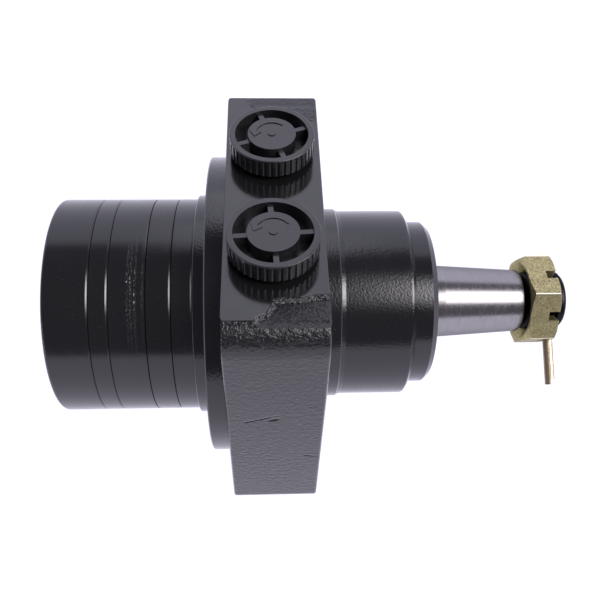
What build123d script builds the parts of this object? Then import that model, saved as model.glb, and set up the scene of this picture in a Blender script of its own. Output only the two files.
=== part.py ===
from build123d import *
import os
from cmath import exp as cexp
from math import cos, hypot, pi, radians, sin, sqrt

os.makedirs("parts", exist_ok=True)

# Wheel-mount orbital hydraulic motor, in millimetres.
# X runs along the output shaft towards its threaded end, and x = 0 is the mounting face.
# Z is the normal of the port face. Angles about X are measured from +Y towards +Z.

INCH = 25.4

# --- driving dimensions -------------------------------------------------------------------

FLANGE = 129.0               # square flange block, across its flats
FLANGE_CORNER = 6.5
SHOULDER_R = 12.0            # larger rounding along the near edge of the port face
FLANGE_THICK = 37.3
CAST_EDGE = 1.2              # rounding of the cast block's rims
MOUNT_SPACING = 104.4        # 147.6 mm bolt circle
MOUNT_HOLE_R = 6.8

PILOT_R = 2.5 * INCH
PILOT_REAR = -7.15
PILOT_EDGE = 0.5
REGISTER_R = 47.3
REGISTER_EDGE = 0.3
FRONT_PILOT_R = 1.625 * INCH
FRONT_PILOT_END = 45.2
FRONT_PILOT_EDGE = 0.5
NECK_R = 40.3
NECK_START = 46.8
NECK_END = 73.0
NECK_BREAK = (0.7, 0.2)      # soft edge of the neck, along and across the axis
NOSE_R = 35.4
NOSE_START = 75.2
NOSE_SHOULDER = 2.4
NOSE_CHAMFER_START = 82.6
NOSE_CHAMFER = 2.0
NOSE_END = 84.9

STACK_R = 45.64              # plates behind the housing
REAR_ROUND = 0.3             # rounding of each plate's rear edge
BEVEL_LONG = 0.8             # bevel of each plate's front edge along the axis, and its depth below
WEAR_BEVEL, STATOR_BEVEL, MANIFOLD_BEVEL, RING_BEVEL, COVER_BEVEL = (0.13, 0.2, 0.05, 0.35, 0.35)
COVER_ROUND = 1.2            # rounding of the end cover's rear edge
STACK = (-12.84, -21.1, -30.7, -45.0, -52.4, -70.25)   # faces of the plates, front to rear
HOUSING_REAR, WEAR_REAR, STATOR_REAR, MANIFOLD_REAR, RING_REAR, COVER_REAR = STACK

ROLLERS = 7
ROLLER_PITCH_R = 29.0
ROLLER_R = 6.0
ECCENTRICITY = 2.6
ROLLER_START = 90.0          # the first roller is at the top
SIDE_GAP = 0.1               # rotor set's running gap at each plate
FLANK_GAP = 0.2              # rotor lobes to rollers

BOLT_CIRCLE_R = 37.5
BOLT_START = ROLLER_START + 180.0 / ROLLERS
BOLT_R = 5 / 32 * INCH
BOLT_CLEAR_R = 4.2
BOLT_HEAD_R = 5.95
BOLT_HEAD_H = 7.94
BOLT_SEAT = COVER_REAR + 9.0
BOLT_TIP = 5.0

SPLINE_TEETH = 12
LINK_PIVOT_X = 22.0          # centre of the shaft's splines
ROTOR_X = (WEAR_REAR + STATOR_REAR) / 2
COMMUTATOR_X = (MANIFOLD_REAR + RING_REAR) / 2

SHAFT_BIG_R = 22.2
JOURNAL_R = 0.75 * INCH
SHAFT_R = 0.625 * INCH
SHAFT_REAR = -11.5
SHOULDER_X = 50.0
JOURNAL_END = 79.0
TAPER_START = 92.2
TAPER_END = 127.0
TAPER_SLOPE = 1 / 16         # 1:8 on the diameter
THREAD_R = 0.5 * INCH
THREAD_PITCH = INCH / 12
SHAFT_END = 146.2

NUT_REAR = 128.6
NUT_FRONT = 141.2
NUT_FLATS = (1 + 7 / 16) * INCH
NUT_EDGE = 0.3               # breaks the edges of the corners and slots
NUT_REAR_CHAMFER = 1.1
NUT_FRONT_CHAMFER = (1.1, 1.9)   # along and across the axis
NUT_MOUTH_R = 17.0           # countersink at the nut's rear face
NUT_MOUTH_DEPTH = 3.3
NUT_FIT = 0.02
SLOT_WIDTH = 4.0
SLOT_DEPTH = 4.7
PIN_X = 141.1
PIN_R = 2.0
PIN_GAP = 0.15
PIN_ANGLE = 210.0            # the pin's legs leave the nut towards this angle
KEY_ANGLE = 300.0
KEY = 5 / 16 * INCH

PORT_X = 18.2
PORT_Y = 25.8
PORT_R = 7 / 16 * INCH
PORT_MOUTH_R = PORT_R + 1.8
PORT_DEPTH = 19.0
PORT_FACE = FLANGE / 2 - 0.6 # milled port face

EMBED = 1.0                  # how far joined shapes reach into one another


# --- shared shapes ------------------------------------------------------------------------

def station(x, angle=0.0, radius=0.0):
    """A plane across the shaft axis at x, facing +X, centred at a radius and angle."""
    a = radians(angle)
    return Plane(origin=(x, radius * cos(a), radius * sin(a)), x_dir=(0, 1, 0), z_dir=(1, 0, 0))


def half_section(*points):
    """A closed half section in the XY plane, from (x, radius) points, ready to turn about X."""
    with BuildSketch(Plane.XY) as half:
        with BuildLine():
            Polyline(*points, close=True)
        make_face()
    return half.sketch


def ring_section(x0, x1, inner, outer, edge=0.0):
    """Half section of a ring between x0 < x1, with its outer edges rounded."""
    with BuildSketch(Plane.XY) as half:
        with BuildLine():
            Polyline((x0, inner), (x0, outer), (x1, outer), (x1, inner), close=True)
        make_face()
        if edge:
            fillet(half.vertices().group_by(Axis.Y)[-1], radius=edge)
    return half.sketch


def plate_section(x0, x1, inner, bevel, rear_round=REAR_ROUND):
    """Half section of a stack plate: rounded at its rear edge, with a shallow bevel at its front edge."""
    with BuildSketch(Plane.XY) as half:
        with BuildLine():
            Polyline((x0, inner), (x0, STACK_R), (x1 - BEVEL_LONG, STACK_R), (x1, STACK_R - bevel),
                     (x1, inner), close=True)
        make_face()
        fillet(half.vertices().group_by(Axis.Y)[-1].sort_by(Axis.X)[0], radius=rear_round)
    return half.sketch


def disc_sketch(x, radius, circle_r=0.0, count=1, start=0.0):
    """Equal circles on a circle about the shaft axis, in the plane at x."""
    with BuildSketch(station(x)) as discs:
        if count > 1:
            with PolarLocations(circle_r, count, start_angle=start):
                Circle(radius)
        else:
            Circle(radius)
    return discs.sketch


def bolt_holes(x, radius=BOLT_CLEAR_R):
    return disc_sketch(x, radius, BOLT_CIRCLE_R, ROLLERS, BOLT_START)


def spline_sketch(plane, core_r, tip_r, tooth):
    """A straight-sided spline: a core circle with equal teeth out to tip_r."""
    with BuildSketch(plane) as spline:
        Circle(core_r)
        with PolarLocations((core_r + tip_r - EMBED) / 2, SPLINE_TEETH):
            Rectangle(tip_r - core_r + EMBED, tooth)
    return spline.sketch


def finish_part(piece, name):
    piece.part.label = name
    export_step(piece.part, f"parts/{name}.step")


# --- housing ------------------------------------------------------------------------------

CASE_BORE_R = 25.5
CASE_LIP = 1.5               # behind the outer bearing's cup
CUP_RELIEF = 0.5             # bore beyond each bearing cup
INNER_CUP_R = 27.8
INNER_CUP = (-8.0, 12.0)
OUTER_CUP_R = 24.0
OUTER_CUP = (56.5, 69.0)
THRUST_FACE = 56.0
GLAND_R = 26.0
GLAND_START = 70.5
GLAND_EDGE = 0.6
TAP_FIT = 0.03
TAP_EXTRA = 3.0              # tapped hole beyond the bolt's tip
CASE_PASSAGE_R = 4.0
CASE_PASSAGE_LENGTH = 36.0
GROOVE_PASSAGE_R = 3.2
BOLT_GROOVE_DEPTH = 3.0
SEAL_GROOVE = (42.7, 44.5)
SEAL_GROOVE_DEPTH = 1.6
RAW_DROP = 1.2               # the raw casting beside the port face lies this much lower
RAW_STEP_SLOPE = 58.0        # lean of the step between them, from upright
RAW_NEAR = (
    (FLANGE_THICK + 3, -47.2), (31.6, -47.6), (27.4, -48.6), (22.0, -48.7), (19.2, -49.3), (18.2, -52.0),
    (16.6, -54.6), (13.4, -56.3), (11.5, -68.0), (FLANGE_THICK + 3, -68.0),
)
RAW_FAR = (
    (FLANGE_THICK + 3, 47.5), (28.5, 47.6), (21.0, 48.3), (13.6, 53.2), (10.0, 57.6), (8.0, 68.0),
    (FLANGE_THICK + 3, 68.0),
)

with BuildPart() as housing:
    with BuildSketch(station(0)) as block:
        Rectangle(FLANGE, FLANGE)
        top_corners = block.vertices().group_by(Axis.Y)[-1].sort_by(Axis.X)
        fillet(top_corners[0], radius=SHOULDER_R)
        sharp = block.vertices().filter_by(lambda v: abs(v.X) + abs(v.Y) > FLANGE - EMBED)
        fillet(sharp, radius=FLANGE_CORNER)
    extrude(amount=FLANGE_THICK)
    rims = faces().filter_by(Axis.X).edges()
    fillet(rims, radius=CAST_EDGE)

    # milled port face, and the raw casting that lies lower at two of its corners, past a sloping step
    with BuildSketch(Plane.XY.offset(PORT_FACE)):
        Rectangle(4 * FLANGE, 2 * FLANGE)
    extrude(amount=FLANGE / 2 - PORT_FACE + EMBED, mode=Mode.SUBTRACT)
    for outline in (RAW_NEAR, RAW_FAR):
        with BuildSketch(Plane.XY.offset(PORT_FACE - RAW_DROP)):
            with BuildLine():
                Polyline(*outline, close=True)
            make_face()
        extrude(amount=RAW_DROP + 0.01, taper=-RAW_STEP_SLOPE, mode=Mode.SUBTRACT)

    # turned body: register and pilot behind the block, ring, neck and nose in front of it
    revolve(half_section(
        (HOUSING_REAR, 0), (HOUSING_REAR, REGISTER_R - REGISTER_EDGE),
        (HOUSING_REAR + REGISTER_EDGE, REGISTER_R), (PILOT_REAR, REGISTER_R),
        (PILOT_REAR, PILOT_R - PILOT_EDGE), (PILOT_REAR + PILOT_EDGE, PILOT_R),
        (EMBED, PILOT_R), (EMBED, FRONT_PILOT_R), (FRONT_PILOT_END - FRONT_PILOT_EDGE, FRONT_PILOT_R),
        (FRONT_PILOT_END, FRONT_PILOT_R - FRONT_PILOT_EDGE), (NECK_START, NECK_R), (NECK_END, NECK_R),
        (NECK_END + NECK_BREAK[0], NECK_R - NECK_BREAK[1]), (NOSE_START, NOSE_R + NOSE_SHOULDER),
        (NOSE_START, NOSE_R), (NOSE_CHAMFER_START, NOSE_R), (NOSE_END, NOSE_R - NOSE_CHAMFER), (NOSE_END, 0),
    ), axis=Axis.X)

    # through bore, from the rear: inner bearing, case, thrust face, outer bearing, seal gland
    revolve(half_section(
        (HOUSING_REAR, 0), (HOUSING_REAR, INNER_CUP_R), (INNER_CUP[1] + CUP_RELIEF, INNER_CUP_R),
        (INNER_CUP[1] + CUP_RELIEF, CASE_BORE_R), (THRUST_FACE, CASE_BORE_R), (THRUST_FACE, OUTER_CUP_R),
        (OUTER_CUP[1] + CUP_RELIEF, OUTER_CUP_R), (OUTER_CUP[1] + CUP_RELIEF, OUTER_CUP_R - CASE_LIP),
        (GLAND_START, OUTER_CUP_R - CASE_LIP), (GLAND_START, GLAND_R), (NOSE_END - GLAND_EDGE, GLAND_R),
        (NOSE_END, GLAND_R + GLAND_EDGE), (NOSE_END, 0),
    ), axis=Axis.X, mode=Mode.SUBTRACT)

    # mounting holes through the block, tapped bolt holes and their oil groove in the rear face
    with BuildSketch(station(0)):
        with GridLocations(MOUNT_SPACING, MOUNT_SPACING, 2, 2):
            Circle(MOUNT_HOLE_R)
    extrude(amount=FLANGE_THICK, mode=Mode.SUBTRACT)
    extrude(bolt_holes(HOUSING_REAR, BOLT_R + TAP_FIT), amount=BOLT_TIP + TAP_EXTRA - HOUSING_REAR,
            mode=Mode.SUBTRACT)
    revolve(ring_section(HOUSING_REAR, HOUSING_REAR + BOLT_GROOVE_DEPTH, BOLT_CIRCLE_R - BOLT_CLEAR_R,
                         BOLT_CIRCLE_R + BOLT_CLEAR_R), axis=Axis.X, mode=Mode.SUBTRACT)

    # ports, with the chamfer that seats each O-ring
    with Locations((PORT_X, PORT_Y, PORT_FACE), (PORT_X, -PORT_Y, PORT_FACE)):
        CounterSinkHole(radius=PORT_R, counter_sink_radius=PORT_MOUTH_R, depth=PORT_DEPTH)

    # oil passages: one port opens into the case, the other into the bolt groove
    with BuildSketch(Plane.XY.offset(PORT_FACE - PORT_DEPTH + EMBED)):
        with Locations((PORT_X, PORT_Y)):
            Circle(CASE_PASSAGE_R)
    extrude(amount=-CASE_PASSAGE_LENGTH, mode=Mode.SUBTRACT)
    passage_from = Vector(PORT_X, -PORT_Y, PORT_FACE - PORT_DEPTH + 2 * EMBED)
    groove_angle = radians(BOLT_START + 180 / ROLLERS)
    passage_to = Vector(HOUSING_REAR, BOLT_CIRCLE_R * cos(groove_angle), BOLT_CIRCLE_R * sin(groove_angle))
    with BuildSketch(Plane(origin=passage_from, z_dir=passage_to - passage_from)):
        Circle(GROOVE_PASSAGE_R)
    extrude(amount=(passage_to - passage_from).length, mode=Mode.SUBTRACT)
finish_part(housing, "housing")


# --- plates behind the housing ------------------------------------------------------------

def seal_groove(x, towards):
    """Groove for a body seal, cut into a plate from its face at x."""
    ends = sorted((x, x + towards * SEAL_GROOVE_DEPTH))
    return ring_section(ends[0], ends[1], SEAL_GROOVE[0], SEAL_GROOVE[1])


LINK_HOLE_R = 15.0
with BuildPart() as wear_plate:
    revolve(plate_section(WEAR_REAR, HOUSING_REAR, LINK_HOLE_R, WEAR_BEVEL), axis=Axis.X)
    extrude(bolt_holes(WEAR_REAR), amount=HOUSING_REAR - WEAR_REAR, mode=Mode.SUBTRACT)
    revolve(seal_groove(WEAR_REAR, 1), axis=Axis.X, mode=Mode.SUBTRACT)
    revolve(seal_groove(HOUSING_REAR, -1), axis=Axis.X, mode=Mode.SUBTRACT)
finish_part(wear_plate, "wear_plate")

STATOR_BORE_R = 28.45
ROLLER_FIT = 0.06
with BuildPart() as stator:
    revolve(plate_section(STATOR_REAR, WEAR_REAR, STATOR_BORE_R, STATOR_BEVEL), axis=Axis.X)
    extrude(bolt_holes(STATOR_REAR), amount=WEAR_REAR - STATOR_REAR, mode=Mode.SUBTRACT)
    extrude(disc_sketch(STATOR_REAR, ROLLER_R + ROLLER_FIT, ROLLER_PITCH_R, ROLLERS, ROLLER_START),
            amount=WEAR_REAR - STATOR_REAR, mode=Mode.SUBTRACT)
finish_part(stator, "stator")

PASSAGE_R = 2.4
POCKET_PASSAGE_R = 24.6      # passages that meet the pockets between rotor lobes
FEED_DEPTH = 5.0
STEM_HOLE_R = 10.5
with BuildPart() as manifold:
    revolve(plate_section(MANIFOLD_REAR, STATOR_REAR, STEM_HOLE_R, MANIFOLD_BEVEL), axis=Axis.X)
    extrude(bolt_holes(MANIFOLD_REAR), amount=STATOR_REAR - MANIFOLD_REAR, mode=Mode.SUBTRACT)
    extrude(disc_sketch(MANIFOLD_REAR, PASSAGE_R, POCKET_PASSAGE_R, ROLLERS, BOLT_START),
            amount=STATOR_REAR - MANIFOLD_REAR, mode=Mode.SUBTRACT)
    # blind slots between the passages lead the supply from the commutator's outside
    extrude(disc_sketch(MANIFOLD_REAR, PASSAGE_R, POCKET_PASSAGE_R, ROLLERS, ROLLER_START),
            amount=FEED_DEPTH, mode=Mode.SUBTRACT)
    revolve(seal_groove(MANIFOLD_REAR, 1), axis=Axis.X, mode=Mode.SUBTRACT)
    revolve(seal_groove(STATOR_REAR, -1), axis=Axis.X, mode=Mode.SUBTRACT)
finish_part(manifold, "manifold")

COMMUTATOR_R = 25.5
ORBIT_GAP = 0.35             # commutator's rim to the ring around it
link_slope = ECCENTRICITY / (LINK_PIVOT_X - ROTOR_X)
commutator_drop = link_slope * (LINK_PIVOT_X - COMMUTATOR_X)
RING_BORE_R = COMMUTATOR_R + commutator_drop + ORBIT_GAP
with BuildPart() as commutator_ring:
    revolve(plate_section(RING_REAR, MANIFOLD_REAR, RING_BORE_R, RING_BEVEL), axis=Axis.X)
    extrude(bolt_holes(RING_REAR), amount=MANIFOLD_REAR - RING_REAR, mode=Mode.SUBTRACT)
finish_part(commutator_ring, "commutator_ring")

RECESS_R = 27.0
RECESS_DEPTH = 2.0
HEAD_GAP = 0.4               # around each bolt head
with BuildPart() as end_cover:
    revolve(plate_section(COVER_REAR, RING_REAR, 0, COVER_BEVEL, COVER_ROUND), axis=Axis.X)
    extrude(bolt_holes(COVER_REAR), amount=RING_REAR - COVER_REAR, mode=Mode.SUBTRACT)
    extrude(bolt_holes(COVER_REAR, BOLT_HEAD_R + HEAD_GAP), amount=BOLT_SEAT - COVER_REAR, mode=Mode.SUBTRACT)
    revolve(seal_groove(RING_REAR, -1), axis=Axis.X, mode=Mode.SUBTRACT)
    # shallow turned recess that lightens the middle of the rear face
    revolve(half_section(
        (COVER_REAR, 0), (COVER_REAR, RECESS_R), (COVER_REAR + RECESS_DEPTH, RECESS_R - RECESS_DEPTH),
        (COVER_REAR + RECESS_DEPTH, 0),
    ), axis=Axis.X, mode=Mode.SUBTRACT)
finish_part(end_cover, "end_cover")

HEX_KEY = INCH / 4
HEX_DEPTH = 4.0
BOLT_HEAD_EDGE = 0.6
with BuildPart() as end_cover_bolts:
    extrude(bolt_holes(BOLT_SEAT, BOLT_R), amount=BOLT_TIP - BOLT_SEAT)
    extrude(bolt_holes(BOLT_SEAT - BOLT_HEAD_H, BOLT_HEAD_R), amount=BOLT_HEAD_H)
    chamfer(edges().filter_by(GeomType.CIRCLE).group_by(Axis.X)[0], length=BOLT_HEAD_EDGE)
    with BuildSketch(station(BOLT_SEAT - BOLT_HEAD_H)):
        with PolarLocations(BOLT_CIRCLE_R, ROLLERS, start_angle=BOLT_START):
            RegularPolygon(HEX_KEY / 2, 6, major_radius=False)
    extrude(amount=HEX_DEPTH, mode=Mode.SUBTRACT)
finish_part(end_cover_bolts, "end_cover_bolts")

seal_r = SEAL_GROOVE_DEPTH / 2
seal_places = (HOUSING_REAR - seal_r, WEAR_REAR + seal_r, STATOR_REAR - seal_r, MANIFOLD_REAR + seal_r,
               RING_REAR - seal_r)
for number, x in enumerate(seal_places, start=1):
    with BuildPart() as body_seal:
        with BuildSketch(Plane.XY):
            with Locations((x, sum(SEAL_GROOVE) / 2)):
                Circle(seal_r)
        revolve(axis=Axis.X)
    finish_part(body_seal, f"body_seal_{number}")


# --- rotor set ----------------------------------------------------------------------------

ROLLER_EDGE = 0.4
rotor_half = (WEAR_REAR - STATOR_REAR) / 2 - SIDE_GAP

for number in range(1, ROLLERS + 1):
    roller_angle = ROLLER_START + (number - 1) * 360 / ROLLERS
    with BuildPart() as roller:
        with BuildSketch(station(ROTOR_X, roller_angle, ROLLER_PITCH_R)):
            Circle(ROLLER_R)
        extrude(amount=rotor_half, both=True)
        chamfer(edges(), length=ROLLER_EDGE)
    finish_part(roller, f"roller_{number}")


def lobe_point(t):
    """Point of the rotor's outline: the path of a roller's centre in the rotor, moved inwards."""
    path = ROLLER_PITCH_R * cexp(1j * t) - ECCENTRICITY * cexp(1j * ROLLERS * t)
    tangent = 1j * (ROLLER_PITCH_R * cexp(1j * t) - ROLLERS * ECCENTRICITY * cexp(1j * ROLLERS * t))
    point = path + 1j * tangent / abs(tangent) * (ROLLER_R + FLANK_GAP)
    return point.real, point.imag


LINK_CORE_R = 10.2
LINK_TIP_R = 12.0
LINK_TOOTH = 2.5
SLOT_CORE_R = 10.9
SLOT_TIP_R = 12.7
SLOT_GAP = 3.6
LOBE_POINTS = 16
rotor_centre = station(ROTOR_X - rotor_half, 270.0, ECCENTRICITY)
with BuildPart() as rotor:
    with BuildSketch(rotor_centre):
        with BuildLine():
            steps = (ROLLERS - 1) * LOBE_POINTS
            Spline([lobe_point(2 * pi * i / steps) for i in range(steps)], periodic=True)
        make_face()
    extrude(amount=2 * rotor_half)
    extrude(spline_sketch(rotor_centre, SLOT_CORE_R, SLOT_TIP_R, SLOT_GAP), amount=2 * rotor_half,
            mode=Mode.SUBTRACT)
finish_part(rotor, "rotor")


# --- drive link and commutator ------------------------------------------------------------

# The link lies between the centre of the shaft's splines and the rotor's centre, which orbits.
link_pivot = Vector(LINK_PIVOT_X, 0, 0)
link_along = Vector(ROTOR_X, 0, -ECCENTRICITY) - link_pivot
link_length = link_along.length
commutator_reach = hypot(LINK_PIVOT_X - COMMUTATOR_X, commutator_drop)
CROWN_DROP = 0.8             # how far each spline end's crown falls away
BALL_R = 6.0
BALL_HALF = 2.9              # half length of the ball that drives the commutator
STEM_R = 5.0
SHANK_R = 9.0


def link_plane(reach):
    """A plane across the drive link, at a distance from its pivot in the shaft."""
    return Plane(origin=link_pivot + link_along.normalized() * reach, x_dir=(0, 1, 0), z_dir=link_along)


def link_end(reach, half_length):
    """One crowned spline end of the drive link."""
    with BuildPart() as end:
        extrude(spline_sketch(link_plane(reach - half_length), LINK_CORE_R, LINK_TIP_R, LINK_TOOTH),
                amount=2 * half_length)
        with BuildSketch(Plane(origin=link_pivot, x_dir=link_along, z_dir=(0, 1, 0))):
            with BuildLine():
                crown = ThreePointArc((reach - half_length, LINK_TIP_R - CROWN_DROP), (reach, LINK_TIP_R),
                                      (reach + half_length, LINK_TIP_R - CROWN_DROP))
                Polyline(crown @ 1, (reach + half_length, 0), (reach - half_length, 0), crown @ 0)
            make_face()
        revolve(axis=Axis(link_pivot, link_along), mode=Mode.INTERSECT)
    return end.part


SHAFT_SPLINE_HALF = 7.0
ROTOR_SPLINE_HALF = 3.8
with BuildPart() as drive_link:
    add(link_end(0, SHAFT_SPLINE_HALF))
    add(link_end(link_length, ROTOR_SPLINE_HALF))
    with BuildSketch(link_plane(SHAFT_SPLINE_HALF - EMBED)):
        Circle(SHANK_R)
    extrude(amount=link_length - ROTOR_SPLINE_HALF - SHAFT_SPLINE_HALF + 2 * EMBED)
    with BuildSketch(link_plane(link_length + ROTOR_SPLINE_HALF - EMBED)):
        Circle(STEM_R)
    extrude(amount=commutator_reach - link_length - ROTOR_SPLINE_HALF + EMBED)
    with BuildSketch(Plane(origin=link_pivot, x_dir=link_along, z_dir=(0, 1, 0))):
        with BuildLine():
            rim = sqrt(BALL_R**2 - BALL_HALF**2)
            ball = ThreePointArc((commutator_reach - BALL_HALF, rim), (commutator_reach, BALL_R),
                                 (commutator_reach + BALL_HALF, rim))
            Polyline(ball @ 1, (commutator_reach + BALL_HALF, 0), (commutator_reach - BALL_HALF, 0), ball @ 0)
        make_face()
    revolve(axis=Axis(link_pivot, link_along))
finish_part(drive_link, "drive_link")

COMMUTATOR_GAP = 0.3
COMMUTATOR_EDGE = 0.4
COMMUTATOR_SEAL = (17.5, 20.5)
COMMUTATOR_SEAL_DEPTH = 2.3
COMMUTATOR_GROOVE = (11.0, 15.5)
COMMUTATOR_GROOVE_DEPTH = 2.5
BALL_GAP = 0.3
SEAL_PLAY = 0.1
commutator_back = RING_REAR + COMMUTATOR_GAP
commutator_front = MANIFOLD_REAR - COMMUTATOR_GAP
commutator_axis = Axis((0, 0, -commutator_drop), (1, 0, 0))


def commutator_section(x0, x1, inner, outer):
    """Half section of a ring about the commutator's own, eccentric axis."""
    with BuildSketch(Plane.XZ.shift_origin((0, 0, -commutator_drop))) as half:
        with Locations(((x0 + x1) / 2, (inner + outer) / 2)):
            Rectangle(x1 - x0, outer - inner)
    return half.sketch


with BuildPart() as commutator:
    revolve(commutator_section(commutator_back, commutator_front, BALL_R + BALL_GAP, COMMUTATOR_R),
            axis=commutator_axis)
    chamfer(edges().filter_by(GeomType.CIRCLE).group_by(SortBy.RADIUS)[-1], length=COMMUTATOR_EDGE)
    revolve(commutator_section(commutator_back, commutator_back + COMMUTATOR_SEAL_DEPTH, *COMMUTATOR_SEAL),
            axis=commutator_axis, mode=Mode.SUBTRACT)
    revolve(commutator_section(
        commutator_front - COMMUTATOR_GROOVE_DEPTH, commutator_front, *COMMUTATOR_GROOVE,
    ), axis=commutator_axis, mode=Mode.SUBTRACT)
finish_part(commutator, "commutator")

with BuildPart() as commutator_seal:
    revolve(commutator_section(
        commutator_back + SEAL_PLAY, commutator_back + COMMUTATOR_SEAL_DEPTH - SEAL_PLAY,
        COMMUTATOR_SEAL[0] + SEAL_PLAY, COMMUTATOR_SEAL[1] - SEAL_PLAY,
    ), axis=commutator_axis)
finish_part(commutator_seal, "commutator_seal")


# --- output shaft, key, nut and cotter pin ------------------------------------------------

SHAFT_EDGE = 0.8
SHAFT_TIP = 1.3              # chamfer at the threaded end
SHAFT_BORE_R = 15.5
SHAFT_BORE_END = 13.0
SPLINE_END = 33.0
DRILL_R = 10.0
DRILL = (32.0, 34.0, 39.5)   # start, shoulder and point of the drilling beyond the splines
CENTRE_DRILL = 2.4
THREAD_START = TAPER_END + 1.2
THREAD_RUNOUT = 2.2

taper_end_r = SHAFT_R - (TAPER_END - TAPER_START) * TAPER_SLOPE
thread_root_r = THREAD_R - 0.6 * THREAD_PITCH
thread_turns = int((SHAFT_END - THREAD_RUNOUT - THREAD_START) / THREAD_PITCH)
thread_line = []
for turn in range(thread_turns):
    crest = THREAD_START + turn * THREAD_PITCH
    thread_line += [(crest, THREAD_R), (crest + THREAD_PITCH / 2, thread_root_r)]
thread_line.append((THREAD_START + thread_turns * THREAD_PITCH, THREAD_R))

KEY_BOTTOM_R = 11.6
KEY_EDGE = 0.4
KEY_X = (95.0, 120.0)
key_plane = Plane(origin=(0, 0, 0), x_dir=(1, 0, 0),
                  z_dir=(0, cos(radians(KEY_ANGLE)), sin(radians(KEY_ANGLE))))
pin_plane = Plane(origin=(PIN_X, 0, 0), x_dir=(1, 0, 0),
                  z_dir=(0, cos(radians(PIN_ANGLE)), sin(radians(PIN_ANGLE))))
with BuildPart() as output_shaft:
    revolve(half_section(
        (SHAFT_REAR, 0), (SHAFT_REAR, SHAFT_BIG_R - SHAFT_EDGE), (SHAFT_REAR + SHAFT_EDGE, SHAFT_BIG_R),
        (SHOULDER_X, SHAFT_BIG_R), (SHOULDER_X, JOURNAL_R), (JOURNAL_END, JOURNAL_R),
        (JOURNAL_END + SHAFT_EDGE, SHAFT_R), (TAPER_START, SHAFT_R), (TAPER_END, taper_end_r),
        (TAPER_END, thread_root_r), *thread_line, (SHAFT_END - SHAFT_TIP, THREAD_R),
        (SHAFT_END, THREAD_R - SHAFT_TIP), (SHAFT_END, 0),
    ), axis=Axis.X)
    # hollow rear end, its splines, and the drill point beyond them
    revolve(half_section(
        (SHAFT_REAR, 0), (SHAFT_REAR, SHAFT_BORE_R + SHAFT_EDGE), (SHAFT_REAR + SHAFT_EDGE, SHAFT_BORE_R),
        (SHAFT_BORE_END, SHAFT_BORE_R), (SHAFT_BORE_END, 0),
    ), axis=Axis.X, mode=Mode.SUBTRACT)
    extrude(spline_sketch(station(SHAFT_BORE_END - EMBED), SLOT_CORE_R, SLOT_TIP_R, SLOT_GAP),
            amount=SPLINE_END - SHAFT_BORE_END + EMBED, mode=Mode.SUBTRACT)
    revolve(half_section((DRILL[0], 0), (DRILL[0], DRILL_R), (DRILL[1], DRILL_R), (DRILL[2], 0)),
            axis=Axis.X, mode=Mode.SUBTRACT)
    # centre drilling in the front end
    revolve(half_section((SHAFT_END - CENTRE_DRILL, 0), (SHAFT_END, CENTRE_DRILL), (SHAFT_END, 0)),
            axis=Axis.X, mode=Mode.SUBTRACT)
    # keyway and the hole for the cotter pin
    with BuildSketch(key_plane.offset(KEY_BOTTOM_R)):
        with Locations(((KEY_X[0] + KEY_X[1]) / 2, 0)):
            SlotOverall(KEY_X[1] - KEY_X[0], KEY)
    extrude(amount=SHAFT_R, mode=Mode.SUBTRACT)
    with BuildSketch(pin_plane):
        Circle(PIN_R + PIN_GAP)
    extrude(amount=THREAD_R + EMBED, both=True, mode=Mode.SUBTRACT)
finish_part(output_shaft, "output_shaft")

with BuildPart() as shaft_key:
    with BuildSketch(key_plane.offset(KEY_BOTTOM_R)):
        with Locations(((KEY_X[0] + KEY_X[1]) / 2, 0)):
            SlotOverall(KEY_X[1] - KEY_X[0], KEY)
    extrude(amount=KEY)
    chamfer(edges().group_by(Axis(key_plane.origin, key_plane.z_dir))[-1], length=KEY_EDGE)
finish_part(shaft_key, "shaft_key")

nut_corner_r = NUT_FLATS / sqrt(3)
with BuildPart() as slotted_nut:
    with BuildSketch(station(NUT_REAR)):
        RegularPolygon(nut_corner_r, 6)
        fillet(vertices(), radius=NUT_EDGE)
        Circle(THREAD_R + NUT_FIT, mode=Mode.SUBTRACT)
    extrude(amount=NUT_FRONT - NUT_REAR)
    # chamfered corners: deep at the rear face, light at the slotted face
    revolve(half_section(
        (NUT_REAR, 0), (NUT_REAR, NUT_FLATS / 2), (NUT_REAR + NUT_REAR_CHAMFER, nut_corner_r),
        (NUT_FRONT - NUT_FRONT_CHAMFER[0], nut_corner_r),
        (NUT_FRONT, nut_corner_r - NUT_FRONT_CHAMFER[1]), (NUT_FRONT, 0),
    ), axis=Axis.X, mode=Mode.INTERSECT)
    revolve(half_section((NUT_REAR, 0), (NUT_REAR, NUT_MOUTH_R), (NUT_REAR + NUT_MOUTH_DEPTH, THREAD_R),
                         (NUT_REAR + NUT_MOUTH_DEPTH, 0)), axis=Axis.X, mode=Mode.SUBTRACT)
    with BuildSketch(station(NUT_FRONT - SLOT_DEPTH)):
        for angle in (30, 90, 150):
            with Locations(Rotation(0, 0, angle)):
                Rectangle(2 * nut_corner_r + EMBED, SLOT_WIDTH)
    extrude(amount=SLOT_DEPTH + EMBED, mode=Mode.SUBTRACT)
    chamfer(edges().group_by(Axis.X)[-1], length=NUT_EDGE)
finish_part(slotted_nut, "slotted_nut")

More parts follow.
